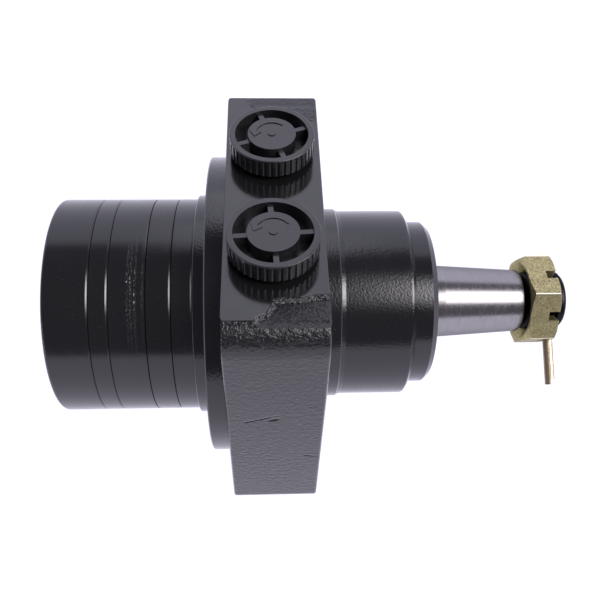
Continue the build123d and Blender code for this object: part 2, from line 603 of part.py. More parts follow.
# The cotter pin is two half-round legs side by side along X, joined by an eye in the far slot.
LEG_REACH = (37.9, 35.4)     # how far the rear and front legs reach from the axis
LEG_GAP = 0.24
EYE_REACH = -17.6            # centre of the eye, on the far side of the thread
EYE_R = 3.3
EYE_HOLE_R = 1.3
EYE_THICK = 3.2
leg_root = EYE_REACH + EYE_R - EMBED
with BuildPart() as cotter_pin:
    for side, reach in zip((-1, 1), LEG_REACH):
        centre_x = side * LEG_GAP / 2
        with BuildSketch(pin_plane.offset(leg_root)):
            with BuildLine():
                CenterArc((centre_x, 0), PIN_R, -90 * side, 180)
                Line((centre_x, PIN_R), (centre_x, -PIN_R))
            make_face()
        extrude(amount=reach - leg_root)
    with BuildSketch(Plane(origin=pin_plane.from_local_coords(Vector(0, 0, EYE_REACH)),
                           x_dir=(1, 0, 0), z_dir=pin_plane.y_dir)):
        Circle(EYE_R)
        Circle(EYE_HOLE_R, mode=Mode.SUBTRACT)
    extrude(amount=EYE_THICK / 2, both=True)
finish_part(cotter_pin, "cotter_pin")


# --- bearings -----------------------------------------------------------------------------

NEEDLE_PLAY = 0.15           # needle to journal, and needle to cup
NEEDLE_INSET = 3.0           # from each end of the cup
NEEDLE_GAP = 0.08            # around each needle in its cage
CUP_LIP = 0.9
CUP_LIP_GAP = 1.0
CUP_EDGE = 0.6
CAGE_INSET = 1.3
CAGE_HALF = 0.7              # half thickness of the cage
NEEDLES = 28


def needle_bearing(name, x_range, shaft_r, needle_r, cup_r):
    """A drawn cup, its cage and its needles, around a journal of radius shaft_r."""
    x0, x1 = x_range
    pitch_r = shaft_r + NEEDLE_PLAY + needle_r
    race_r = pitch_r + needle_r + NEEDLE_PLAY
    lip_r = shaft_r + CUP_LIP_GAP
    with BuildPart() as cup:
        revolve(half_section(
            (x0, lip_r), (x0, cup_r - CUP_EDGE), (x0 + CUP_EDGE, cup_r), (x1 - CUP_EDGE, cup_r),
            (x1, cup_r - CUP_EDGE), (x1, lip_r), (x1 - CUP_LIP, lip_r), (x1 - CUP_LIP, race_r),
            (x0 + CUP_LIP, race_r), (x0 + CUP_LIP, lip_r),
        ), axis=Axis.X)
    finish_part(cup, f"{name}_cup")

    needle_from = x0 + NEEDLE_INSET
    needle_length = x1 - x0 - 2 * NEEDLE_INSET
    with BuildPart() as cage:
        revolve(ring_section(x0 + CAGE_INSET, x1 - CAGE_INSET, pitch_r - CAGE_HALF, pitch_r + CAGE_HALF),
                axis=Axis.X)
        extrude(disc_sketch(needle_from - NEEDLE_PLAY, needle_r + NEEDLE_GAP, pitch_r, NEEDLES),
                amount=needle_length + 2 * NEEDLE_PLAY, mode=Mode.SUBTRACT)
    finish_part(cage, f"{name}_cage")

    with BuildPart() as needles:
        extrude(disc_sketch(needle_from, needle_r, pitch_r, NEEDLES), amount=needle_length)
    finish_part(needles, f"{name}_needles")


INNER_NEEDLE_R = 1.75
OUTER_NEEDLE_R = 1.5
needle_bearing("inner_bearing", INNER_CUP, SHAFT_BIG_R, INNER_NEEDLE_R, INNER_CUP_R)
needle_bearing("outer_bearing", OUTER_CUP, JOURNAL_R, OUTER_NEEDLE_R, OUTER_CUP_R)

WASHER_EDGE = 0.2
THRUST_WASHER = 1.5
THRUST_ROLLER_R = 1.2
THRUST_OUTER_R = 25.2
THRUST_INNER_R = JOURNAL_R + 0.35
thrust_mid = (SHOULDER_X + THRUST_FACE) / 2
with BuildPart() as thrust_washer_shaft:
    revolve(ring_section(SHOULDER_X, SHOULDER_X + THRUST_WASHER, JOURNAL_R, THRUST_OUTER_R, WASHER_EDGE),
            axis=Axis.X)
finish_part(thrust_washer_shaft, "thrust_washer_shaft")

with BuildPart() as thrust_washer_housing:
    revolve(ring_section(THRUST_FACE - THRUST_WASHER, THRUST_FACE, THRUST_INNER_R, THRUST_OUTER_R,
                         WASHER_EDGE), axis=Axis.X)
finish_part(thrust_washer_housing, "thrust_washer_housing")

THRUST_ROLLERS = 20
THRUST_ROLLER_SPAN = (20.3, 24.1)
with BuildPart() as thrust_rollers:
    for number in range(THRUST_ROLLERS):
        a = 2 * pi * number / THRUST_ROLLERS
        across = Plane(origin=(thrust_mid, 0, 0), x_dir=(1, 0, 0), z_dir=(0, cos(a), sin(a)))
        with BuildSketch(across.offset(THRUST_ROLLER_SPAN[0])):
            Circle(THRUST_ROLLER_R)
        extrude(amount=THRUST_ROLLER_SPAN[1] - THRUST_ROLLER_SPAN[0])
finish_part(thrust_rollers, "thrust_rollers")

THRUST_CAGE_HALF = 0.6       # half thickness of the cage
THRUST_CAGE = (JOURNAL_R + 0.5, THRUST_OUTER_R - 0.1)
THRUST_WINDOW = (THRUST_ROLLER_SPAN[1] - THRUST_ROLLER_SPAN[0] + 0.3, 2 * THRUST_ROLLER_R + 0.2)
with BuildPart() as thrust_cage:
    revolve(ring_section(thrust_mid - THRUST_CAGE_HALF, thrust_mid + THRUST_CAGE_HALF, *THRUST_CAGE),
            axis=Axis.X)
    with BuildSketch(station(thrust_mid - THRUST_CAGE_HALF)):
        with PolarLocations(sum(THRUST_ROLLER_SPAN) / 2, THRUST_ROLLERS):
            Rectangle(*THRUST_WINDOW)
    extrude(amount=2 * THRUST_CAGE_HALF, mode=Mode.SUBTRACT)
finish_part(thrust_cage, "thrust_cage")


# --- shaft seals --------------------------------------------------------------------------

LIP_GAP = 0.08
SHAFT_SEAL_X = (71.0, 71.6, 72.4, 73.4, 74.2, 75.4, 75.8, 77.4)     # rear face, lip, spring groove, front
SHAFT_SEAL_R = (20.6, 21.6, 22.6, 24.4)                             # web, groove and rim
with BuildPart() as shaft_seal:
    rear, lip_back, lip_from, lip_to, lip_front, groove, web, front = SHAFT_SEAL_X
    web_r, root_r, groove_r, rim_r = SHAFT_SEAL_R
    revolve(half_section(
        (rear, GLAND_R), (front, GLAND_R), (front, web_r), (web, web_r),
        (lip_front, JOURNAL_R + 10 * LIP_GAP),
        (lip_to, JOURNAL_R + LIP_GAP), (lip_from, JOURNAL_R + LIP_GAP), (lip_back, JOURNAL_R + 20 * LIP_GAP),
        (lip_back, root_r), (groove, groove_r), (groove, rim_r), (rear, rim_r),
    ), axis=Axis.X)
finish_part(shaft_seal, "shaft_seal")

BACKUP_X = (77.5, 79.0)
BACKUP_INNER_R = JOURNAL_R + 0.5
with BuildPart() as backup_washer:
    revolve(ring_section(*BACKUP_X, BACKUP_INNER_R, GLAND_R, WASHER_EDGE), axis=Axis.X)
finish_part(backup_washer, "backup_washer")

DUST_SEAL_X = (79.1, 81.0, 81.4, 82.6, 84.2, 84.6)                  # rear face, web, lip, front, lip's edge
DUST_SEAL_R = (20.6, 18.2)
with BuildPart() as dust_seal:
    rear, web, lip_back, lip_from, front, lip_edge = DUST_SEAL_X
    web_r, lip_r = DUST_SEAL_R
    revolve(half_section(
        (rear, web_r), (rear, GLAND_R), (front, GLAND_R), (front, lip_r), (lip_edge, SHAFT_R + 10 * LIP_GAP),
        (front, SHAFT_R + LIP_GAP), (lip_from, SHAFT_R + LIP_GAP), (lip_back, lip_r), (web, web_r),
    ), axis=Axis.X)
finish_part(dust_seal, "dust_seal")


# --- port plugs ---------------------------------------------------------------------------

PLUG_BOTTOM = PORT_FACE + 2.4
PLUG_TOP = PORT_FACE + 10.1
PLUG_CREST_R = 16.5
PLUG_EDGE = 0.4
KNURL_FLUTES = 42
KNURL_R = 0.85                # radius of each flute
KNURL_OUT = 0.3              # its centre, outside the crests
KNURL_TOP = PLUG_TOP - 0.6   # the flutes stop under the rim
PLUG_RIM_R = 14.2            # inside of the rim
PLUG_HUB_R = 9.3
PLUG_FLOOR = PLUG_BOTTOM + 1.6
SPOKES = 4
SPOKE_WIDTH = 2.0
SPOKE_TOP = PLUG_TOP - 1.2
MARK_HEIGHT = 0.35
MARK_ARC = (6.9, 6.1)        # outside and inside of the turn arrow
MARK_SWEEP = (30, 120)
MARK_HEAD = ((-7.6, 4.4), (-3.6, 2.0), (-6.9, 0.6))
MARK_DOT_R = 1.6
STEM_PLUG_R = PORT_R - 0.32
STEM_LENGTH = 11.0
STEM_PITCH = INCH / 14
STEM_RINGS = 4
STEM_ROOT_R = STEM_PLUG_R - 1.2
STEM_RING_TOP = PORT_FACE - 2.6
STEM_RING_LEAN = 25.0
PORT_SEAL_R = 1.3
PORT_SEAL_PLACE = (STEM_PLUG_R + 0.1, 0.9)
PORTS = {"a": (-PORT_Y, 4.0), "b": (PORT_Y, 20.0)}      # place across the block, and turn of the spokes

for port, (port_y, turn) in PORTS.items():
    spoke_along = (cos(radians(turn)), sin(radians(turn)), 0)
    centre = Plane(origin=(PORT_X, port_y, 0), x_dir=spoke_along, z_dir=(0, 0, 1))
    with BuildPart() as port_plug:
        with BuildSketch(centre.offset(PLUG_BOTTOM)):
            Circle(PLUG_CREST_R)
        extrude(amount=PLUG_TOP - PLUG_BOTTOM)
        fillet(edges().sort_by(Axis.Z)[-1], radius=PLUG_EDGE)
        chamfer(edges().sort_by(Axis.Z)[0], length=PLUG_EDGE)
        with BuildSketch(centre.offset(PLUG_BOTTOM)):
            with PolarLocations(PLUG_CREST_R + KNURL_OUT, KNURL_FLUTES):
                Circle(KNURL_R)
        extrude(amount=KNURL_TOP - PLUG_BOTTOM, mode=Mode.SUBTRACT)
        # annular recess around the hub, crossed by four spokes
        with BuildSketch(centre.offset(PLUG_FLOOR)):
            Circle(PLUG_RIM_R)
            Circle(PLUG_HUB_R, mode=Mode.SUBTRACT)
        extrude(amount=PLUG_TOP - PLUG_FLOOR, mode=Mode.SUBTRACT)
        with BuildSketch(centre.offset(PLUG_FLOOR)):
            with PolarLocations((PLUG_HUB_R + PLUG_RIM_R) / 2, SPOKES):
                Rectangle(PLUG_RIM_R - PLUG_HUB_R + EMBED, SPOKE_WIDTH)
        extrude(amount=SPOKE_TOP - PLUG_FLOOR)
        # raised curved mark on the hub: a plain turn arrow
        with BuildSketch(centre.offset(PLUG_TOP)):
            with BuildLine():
                outer_arc = CenterArc((0, 0), MARK_ARC[0], *MARK_SWEEP)
                inner_arc = CenterArc((0, 0), MARK_ARC[1], *MARK_SWEEP)
                Line(outer_arc @ 0, inner_arc @ 0)
                Line(outer_arc @ 1, inner_arc @ 1)
            make_face()
            with BuildLine():
                Polyline(*MARK_HEAD, close=True)
            make_face()
            Circle(MARK_DOT_R)
        extrude(amount=MARK_HEIGHT)
        # stem with its thread, shown as rings
        with BuildSketch(centre.offset(PLUG_BOTTOM)):
            Circle(STEM_ROOT_R)
        extrude(amount=-STEM_LENGTH)
        for ring in range(STEM_RINGS):
            with BuildSketch(centre.offset(STEM_RING_TOP - ring * STEM_PITCH)):
                Circle(STEM_PLUG_R)
            extrude(amount=-STEM_PITCH / 2, taper=STEM_RING_LEAN)
    finish_part(port_plug, f"port_plug_{port}")

    with BuildPart() as port_seal:
        with BuildSketch(Plane(origin=(PORT_X, port_y, PORT_FACE), x_dir=(1, 0, 0), z_dir=(0, -1, 0))):
            with Locations(PORT_SEAL_PLACE):
                Circle(PORT_SEAL_R)
        revolve(axis=Axis((PORT_X, port_y, 0), (0, 0, 1)))
    finish_part(port_seal, f"port_seal_{port}")
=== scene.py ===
import functools
import math

import bpy
from mathutils import Matrix, Vector


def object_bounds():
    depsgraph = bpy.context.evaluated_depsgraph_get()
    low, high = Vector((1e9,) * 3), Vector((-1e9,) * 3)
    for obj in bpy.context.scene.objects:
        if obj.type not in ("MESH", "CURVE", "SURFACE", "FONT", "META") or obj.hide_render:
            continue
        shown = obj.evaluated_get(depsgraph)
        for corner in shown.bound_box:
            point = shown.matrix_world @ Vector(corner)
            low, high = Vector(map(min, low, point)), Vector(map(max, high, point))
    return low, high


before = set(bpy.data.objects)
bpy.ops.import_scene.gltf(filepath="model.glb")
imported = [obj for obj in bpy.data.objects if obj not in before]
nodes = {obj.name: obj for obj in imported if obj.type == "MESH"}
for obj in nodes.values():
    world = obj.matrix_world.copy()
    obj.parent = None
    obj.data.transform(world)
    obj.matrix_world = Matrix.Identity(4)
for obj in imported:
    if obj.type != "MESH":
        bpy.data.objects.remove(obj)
cad_low, cad_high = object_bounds()
MM = 0.001


# --- camera, at the photograph's viewing angle --------------------------------------------

CAMERA_AT = Vector((16.03, -199.75, 260.61)) * MM
CAMERA_DOWN = math.radians(52.347)
CAMERA_YAW = math.radians(2.502)
CAMERA_ROLL = math.radians(-0.533)
CAMERA_LENS = 44.28
CAMERA_SENSOR = 36.0
CAMERA_CLIP = (0.01, 20.0)


def make_camera():
    data = bpy.data.cameras.new("camera")
    data.lens = CAMERA_LENS
    data.sensor_width = CAMERA_SENSOR
    data.clip_start, data.clip_end = CAMERA_CLIP
    camera = bpy.data.objects.new("camera", data)
    bpy.context.scene.collection.objects.link(camera)
    forward = Vector((
        math.sin(CAMERA_YAW),
        math.cos(CAMERA_DOWN) * math.cos(CAMERA_YAW),
        -math.sin(CAMERA_DOWN) * math.cos(CAMERA_YAW),
    )).normalized()
    level_up = Vector((0, math.sin(CAMERA_DOWN), math.cos(CAMERA_DOWN)))
    right = forward.cross(level_up).normalized()
    up = right.cross(forward)
    turned_right = right * math.cos(CAMERA_ROLL) + up * math.sin(CAMERA_ROLL)
    turned_up = up * math.cos(CAMERA_ROLL) - right * math.sin(CAMERA_ROLL)
    turn = Matrix((turned_right, turned_up, -forward)).transposed().to_4x4()
    camera.matrix_world = Matrix.Translation(CAMERA_AT) @ turn
    bpy.context.scene.camera = camera


# --- node graph helpers -------------------------------------------------------------------

class Graph:
    """Shader nodes under construction, in a material's or the world's node tree."""

    def __init__(self, tree):
        self.tree = tree

    def add(self, kind, **settings):
        node = self.tree.nodes.new(kind)
        for key, value in settings.items():
            setattr(node, key, value)
        return node

    def feed(self, socket, value):
        """Puts a number, tuple or output into an input socket."""
        if isinstance(value, bpy.types.NodeSocket):
            self.tree.links.new(value, socket)
        else:
            socket.default_value = value

    def math(self, operation, a, b=0.0, c=0.0):
        node = self.add("ShaderNodeMath", operation=operation)
        for socket, value in zip(node.inputs, (a, b, c)):
            self.feed(socket, value)
        return node.outputs[0]

    def fold(self, operation, values):
        """Applies an operation on two numbers to a whole list."""
        return functools.reduce(functools.partial(self.math, operation), values)

    def times(self, *factors):
        return self.fold("MULTIPLY", factors)

    def plus(self, *terms):
        return self.fold("ADD", terms)

    def apart(self, a, b):
        return self.math("ABSOLUTE", self.math("SUBTRACT", a, b))

    def vector(self, operation, a, b=(0, 0, 0)):
        node = self.add("ShaderNodeVectorMath", operation=operation)
        self.feed(node.inputs[0], a)
        self.feed(node.inputs[1], b)
        return node.outputs["Value" if operation in ("LENGTH", "DOT_PRODUCT") else "Vector"]

    def join(self, x, y, z):
        node = self.add("ShaderNodeCombineXYZ")
        for socket, value in zip(node.inputs, (x, y, z)):
            self.feed(socket, value)
        return node.outputs[0]

    def remap(self, value, low, high, to_low=0.0, to_high=1.0, smooth=False):
        """A ramp from to_low at low to to_high at high, level beyond both."""
        node = self.add("ShaderNodeMapRange", interpolation_type="SMOOTHSTEP" if smooth else "LINEAR")
        for name, number in (("Value", value), ("From Min", low), ("From Max", high),
                             ("To Min", to_low), ("To Max", to_high)):
            self.feed(node.inputs[name], number)
        return node.outputs["Result"]

    def blend(self, share, a, b):
        """Mixes two colours."""
        node = self.add("ShaderNodeMix", data_type="RGBA")
        self.feed(node.inputs["Factor"], share)
        self.feed(node.inputs["A"], (*a, 1.0) if isinstance(a, tuple) else a)
        self.feed(node.inputs["B"], (*b, 1.0) if isinstance(b, tuple) else b)
        return node.outputs["Result"]


class Surface(Graph):
    """A material under construction. Positions and sizes are the object's own, in millimetres."""

    def __init__(self, name, base, roughness, metallic=0.0, specular=0.5):
        self.material = bpy.data.materials.new(name)
        self.material.use_nodes = True
        super().__init__(self.material.node_tree)
        self.shader = self.tree.nodes["Principled BSDF"]
        self.shader.inputs["Base Color"].default_value = (*base, 1.0)
        self.shader.inputs["Roughness"].default_value = roughness
        self.shader.inputs["Metallic"].default_value = metallic
        self.shader.inputs["Specular IOR Level"].default_value = specular
        metres = self.add("ShaderNodeTexCoord").outputs["Object"]
        self.place = self.vector("MULTIPLY", metres, (1 / MM, 1 / MM, 1 / MM))
        axes = self.add("ShaderNodeSeparateXYZ")
        self.feed(axes.inputs[0], self.place)
        self.x, self.y, self.z = axes.outputs

    def radius(self):
        """Distance from the X axis."""
        return self.vector("LENGTH", self.join(0.0, self.y, self.z))

    def noise(self, size, detail=2.0, roughness=0.5, stretch=(1, 1, 1)):
        """Noise whose blobs are about this large, between 0 and 1."""
        node = self.add("ShaderNodeTexNoise")
        self.feed(node.inputs["Vector"], self.vector("MULTIPLY", self.place, stretch))
        node.inputs["Scale"].default_value = 1.0 / size
        node.inputs["Detail"].default_value = detail
        node.inputs["Roughness"].default_value = roughness
        return node.outputs["Fac"]

    def patches(self, size, low, high, to_low=0.0, to_high=1.0, **settings):
        """Noise stretched from its range between low and high, which gives patches with firmer edges."""
        return self.remap(self.noise(size, **settings), low, high, to_low, to_high)

    def off_points(self, spacing):
        """Distance to the nearest of a scatter of points, as a share of their spacing."""
        node = self.add("ShaderNodeTexVoronoi")
        self.feed(node.inputs["Vector"], self.place)
        node.inputs["Scale"].default_value = 1.0 / spacing
        return node.outputs["Distance"]

    def off_line(self, start, end):
        """Distance in x and z to the straight line between two points."""
        first = Vector((start[0], 0, start[1]))
        run = Vector((end[0], 0, end[1])) - first
        from_first = self.vector("SUBTRACT", self.join(self.x, 0.0, self.z), tuple(first))
        share = self.vector("DOT_PRODUCT", from_first, tuple(run / run.length_squared))
        share = self.math("MINIMUM", self.math("MAXIMUM", share, 0.0), 1.0)
        foot = self.vector("MULTIPLY", tuple(run), share)
        return self.vector("LENGTH", self.vector("SUBTRACT", from_first, foot))

    def bump(self, height):
        """Tilts the surface by a height in millimetres."""
        node = self.add("ShaderNodeBump")
        node.inputs["Strength"].default_value = 1.0
        node.inputs["Distance"].default_value = MM
        self.feed(node.inputs["Height"], height)
        return node.outputs["Normal"]

    def use(self, **inputs):
        for name, value in inputs.items():
            self.feed(self.shader.inputs[name.replace("_", " ")], value)
        return self.material


# --- places on the part, in millimetres ---------------------------------------------------

def extent(name):
    """The low and high corners of a CAD node's box."""
    corners = [Vector(corner) / MM for corner in nodes[name].bound_box]
    return [Vector([pick(corner[axis] for corner in corners) for axis in range(3)]) for pick in (min, max)]


PLATES = ("wear_plate", "stator", "manifold", "commutator_ring", "end_cover")   # front to rear
JOINTS = [extent(plate)[1].x for plate in PLATES]
STACK_REAR = extent("end_cover")[0].x
HOUSING_SIDE = extent("housing")[1].y
PORT_FACE = extent("housing")[1].z
PORT_FACE_HALF = 60.65           # the milled port face ends this far from the middle, along Y
BLOCK_FRONT = 37.3               # the housing's cast block runs from x = 0 to here
BLOCK_BORE = 53.0                # nearer to the axis than this, the block isn't cast
SHOULDER_UP = (53.5, 58.0)       # the coarser skin of the rounded shoulders comes in over these heights,
SHOULDER_OUT = (45.0, 45.8)      # and this far from the middle,
SHOULDER_CALM = (57.0, 59.2)     # but is calmer until here
STEP_OUT = (55.0, 57.5)          # the step down from the port face ends this far from the middle
BLACK_FROM = extent("slotted_nut")[0].x - 1.6     # the shaft is threaded and black from here on: partly its own dark finish, partly painted shade inside the nut's mouth
NUT_HIGHLIGHT_FROM = 20.9                # the nut's corners carry a painted highlight beyond this radius

# foundry scars on the housing's -Y side: both ends in x and z, half width, depth
SCARS = (
    ((7.1, 9.5), (19.8, 14.3), 0.85, 0.75),
    ((17.0, 11.2), (18.8, 11.9), 1.9, 1.1),
    ((30.6, -19.5), (35.7, -20.4), 0.85, 0.9),
)
# rows of scoring on the manifold: x and strength, and the angles in radians where they fade in and out
SCORED_ROWS = ((-37.4, 0.6), (-36.1, 0.55), (-34.5, 1.0), (-31.8, 0.35))
SCORED_FROM = (1.45, 2.0)
SCORED_TO = (2.35, 2.7)
SCORE_HALF = (0.1, 0.5)          # half width of a scored row: full, and faded out
JOINT_SHADE_HALF = (0.12, 0.30)         # half width of the painted shade in a joint: full, and faded out

# heights and depths of the relief
ORANGE_PEEL = 0.007
CAST_SKIN = 0.28
CAST_GRIT = 0.06
SHOULDER_SKIN = 0.42
STEP_SKIN = 1.1
PIT = 0.55
NICK = 0.16
HOUSING_PEEL = 0.055
PORT_FACE_PEEL = 0.006
SCRATCH = 0.003
SCORE = 0.22
RINGS = 0.006
STEEL_GRAIN = 0.003
PLASTIC_GRAIN = 0.008
RUBBER_GRAIN = 0.012


# --- materials ----------------------------------------------------------------------------

BLACK = (0.0065, 0.0065, 0.0068)
PAINT_SPECULAR = 0.6
# painted shade: the colour of the shaded gap where two plates meet
JOINT_SHADE = (0.002, 0.002, 0.002)
BARE_STEEL = (0.33, 0.315, 0.318)
STEEL_EDGE = (0.5, 0.5, 0.5, 1.0)
ZINC_EDGE = (0.6, 0.6, 0.5, 1.0)
# painted highlight: near-white colour for the nut's corner edges
ZINC_HIGHLIGHT = (0.95, 0.92, 0.72)


def peel(look, size, height):
    """Height of a sprayed coat: soft waves with a finer ripple on them."""
    waves = look.times(look.noise(size, detail=1.0), height)
    ripple = look.times(look.noise(size / 3.2, detail=1.0), height * 0.3)
    return look.plus(waves, ripple)


def dust(look, size):
    """A scatter of specks, 0 to 1."""
    return look.patches(size, 0.80, 0.86, detail=0.0)


def scoring(look):
    """Broken rows of scoring, 0 to 1, over the sector that lies near a bench or a bracket."""
    rows = [look.remap(look.apart(look.x, x), *SCORE_HALF, strength, 0.0) for x, strength in SCORED_ROWS]
    breaks = look.patches(0.9, 0.5, 0.56, detail=2.0, roughness=0.7, stretch=(1.6, 0.9, 0.9))
    faint = look.patches(5.0, 0.35, 0.6, 0.3, 1.0, detail=1.0)
    angle = look.math("ARCTAN2", look.z, look.y)
    fade_in = look.remap(angle, *SCORED_FROM, smooth=True)
    fade_out = look.remap(angle, *SCORED_TO, 1.0, 0.0, smooth=True)
    return look.times(look.plus(*rows), faint, breaks, fade_in, fade_out)


def turned_paint(name, roughness=0.17, scored=False):
    """Gloss black paint over turned steel: orange peel, dust, rub marks, scratches, and painted shade in the
    joints between plates.
    """
    look = Surface(name, BLACK, roughness, specular=PAINT_SPECULAR)
    rub = look.patches(14.0, 0.48, 0.75, detail=5.0, roughness=0.65)
    specks = dust(look, 0.5)
    hairs = look.patches(1.4, 0.68, 0.74, detail=3.0, roughness=0.7, stretch=(0.12, 1.0, 1.0))
    rear_end = look.remap(look.x, STACK_REAR + 0.75, STACK_REAR + 8.25, 1.0, 0.0)
    wear = look.times(hairs, look.math("MULTIPLY_ADD", rear_end, 0.7, 0.15))
    height = look.math("MULTIPLY_ADD", wear, -SCRATCH, peel(look, 1.5, ORANGE_PEEL))
    if scored:
        height = look.math("MULTIPLY_ADD", scoring(look), -SCORE, height)
    rough = look.plus(roughness, look.times(rub, 0.06), look.times(specks, 0.2), look.times(wear, 0.12))
    colour = look.blend(look.times(specks, 0.3), BLACK, (0.05, 0.05, 0.055))
    # painted shade in the joints: black and without reflection where the plates meet
    nearest_joint = look.fold("MINIMUM", [look.apart(look.x, joint) for joint in JOINTS])
    unshaded = look.remap(nearest_joint, *JOINT_SHADE_HALF)
    return look.use(
        Base_Color=look.blend(unshaded, JOINT_SHADE, colour),
        Roughness=look.math("MAXIMUM", rough, look.math("SUBTRACT", 0.7, unshaded)),
        Specular_IOR_Level=look.times(unshaded, PAINT_SPECULAR),
        Normal=look.bump(height),
    )


def scars(look):
    """Height of the foundry scars: ragged grooves in the -Y side, 0 elsewhere."""
    on_side = look.remap(look.y, 0.3 - HOUSING_SIDE, 0.5 - HOUSING_SIDE, 1.0, 0.0)
    ragged = look.times(look.noise(1.2, detail=2.0), 0.8)
    grooves = []
    for start, end, half_width, depth in SCARS:
        off = look.plus(look.off_line(start, end), ragged)
        grooves.append(look.remap(off, 0.3, 0.4 + half_width, -depth, 0.0, smooth=True))
    return look.times(look.plus(*grooves), on_side)


def cast_paint():
    """Gloss black paint over the housing: cast skin on the block, smooth where it is machined."""
    look = Surface("housing_paint", BLACK, 0.2, specular=PAINT_SPECULAR)
    across = look.math("ABSOLUTE", look.y)
    in_block = look.times(look.remap(look.x, 0.1, 0.6),
                          look.remap(look.x, BLOCK_FRONT - 0.6, BLOCK_FRONT - 0.1, 1.0, 0.0))
    outside_bore = look.remap(look.radius(), BLOCK_BORE - 1.0, BLOCK_BORE + 1.0)
    milled = look.times(look.remap(look.z, PORT_FACE - 0.15, PORT_FACE - 0.05),
                        look.remap(across, PORT_FACE_HALF - 0.15, PORT_FACE_HALF + 0.15, 1.0, 0.0))
    cast = look.times(in_block, outside_bore, look.math("SUBTRACT", 1.0, milled))
    # the rounded shoulders beside the port face are coarser than the flat sides, and the step down from the
    # port face to the raw casting is the coarsest
    shoulder = look.times(look.remap(look.z, *SHOULDER_UP), look.remap(across, *SHOULDER_OUT),
                          look.remap(across, *SHOULDER_CALM, 0.4, 1.0))
    step = look.times(look.remap(look.z, PORT_FACE - 1.3, PORT_FACE - 1.1),
                      look.remap(look.z, PORT_FACE - 0.1, PORT_FACE, 1.0, 0.0),
                      look.remap(across, *STEP_OUT, 1.0, 0.0))
    relief = look.plus(
        look.times(look.noise(1.9, detail=3.0, roughness=0.6, stretch=(0.9, 1.0, 1.05)), CAST_SKIN),
        look.times(look.noise(0.6, detail=2.0, roughness=0.6), CAST_GRIT),
        look.times(look.noise(1.4, detail=3.0, roughness=0.65), shoulder, SHOULDER_SKIN),
        look.times(look.noise(1.1, detail=2.0), step, STEP_SKIN),
        look.remap(look.off_points(6.5), 0.02, 0.10, -PIT, 0.0, smooth=True),
        look.patches(3.2, 0.71, 0.76, 0.0, -NICK, detail=2.0, stretch=(0.35, 1.0, 1.6)),
        scars(look),
    )
    turned = look.times(look.math("SUBTRACT", 1.0, in_block), peel(look, 0.9, HOUSING_PEEL))
    flat = look.times(milled, peel(look, 3.0, PORT_FACE_PEEL))
    rub = look.patches(11.0, 0.45, 0.75, detail=5.0, roughness=0.65)
    specks = dust(look, 0.55)
    return look.use(
        Base_Color=look.blend(look.times(specks, 0.25), BLACK, (0.06, 0.06, 0.065)),
        Roughness=look.plus(0.14, look.times(cast, 0.03), look.times(rub, 0.05), look.times(specks, 0.15)),
        Normal=look.bump(look.plus(look.times(cast, relief), turned, flat)),
    )


def turned_steel(name, base, roughness):
    """Bare turned or ground steel: fine rings about the X axis, and a faint oily film."""
    look = Surface(name, base, roughness, metallic=1.0)
    look.shader.inputs["Specular Tint"].default_value = STEEL_EDGE
    rings = look.noise(1.0, detail=3.0, roughness=0.7, stretch=(14.0, 0.05, 0.05))
    film = look.noise(3.0, detail=5.0, roughness=0.65, stretch=(2.0, 0.7, 0.7))
    grain = look.noise(0.3, detail=2.0, roughness=0.7)
    rough = look.plus(look.remap(rings, 0.3, 0.7, roughness - 0.05, roughness + 0.06),
                      look.remap(film, 0.4, 0.7, 0.0, 0.08))
    dark = tuple(0.72 * channel for channel in base)
    mottle = look.plus(look.times(rings, 0.6), look.times(film, 0.4))
    colour = look.blend(look.remap(mottle, 0.35, 0.7, 0.0, 0.7), base, dark)
    normal = look.bump(look.plus(look.times(rings, RINGS), look.times(grain, STEEL_GRAIN)))
    return look, colour, rough, normal


def plain_steel(name, base, roughness):
    look, colour, rough, normal = turned_steel(name, base, roughness)
    return look.use(Base_Color=colour, Roughness=rough, Normal=normal)


def shaft_steel():
    """Ground steel, with a black, oily thread at its end: partly the thread's own dark finish, partly painted
    shade where the nut's mouth covers it.
    """
    look, colour, rough, normal = turned_steel("ground_shaft", BARE_STEEL, 0.2)
    # painted shade and the thread's own finish: black from the nut's mouth on
    thread = look.remap(look.x, BLACK_FROM - 0.2, BLACK_FROM + 0.2)
    colour = look.blend(thread, colour, (0.02, 0.02, 0.022))
    rough = look.math("MULTIPLY_ADD", thread, 0.12, rough)
    return look.use(Base_Color=colour, Roughness=rough, Normal=normal)


def plated(name, light, dark, roughness, grain_height, highlight_beyond=None):
    """Passivated zinc plate: fine grainy speckle, faintly cloudy, and a painted highlight on the corners
    beyond a given radius.
    """
    look = Surface(name, light, roughness, metallic=0.9)
    look.shader.inputs["Specular Tint"].default_value = ZINC_EDGE
    cloud = look.noise(5.0, detail=4.0, roughness=0.6)
    grain = look.noise(0.5, detail=2.0, roughness=0.8)
    share = look.plus(look.remap(cloud, 0.35, 0.7, -0.1, 0.2), look.remap(grain, 0.42, 0.58, 0.0, 0.9))
    colour = look.blend(share, light, dark)
    if highlight_beyond is not None:
        # painted highlight on the corner edges, where they catch the light
        corner_highlight = look.remap(look.radius(), highlight_beyond, highlight_beyond + 0.08)
        colour = look.blend(corner_highlight, colour, ZINC_HIGHLIGHT)
    rough = look.remap(grain, 0.3, 0.7, roughness - 0.06, roughness + 0.1)
    return look.use(Base_Color=colour, Roughness=rough, Normal=look.bump(look.times(grain, grain_height)))


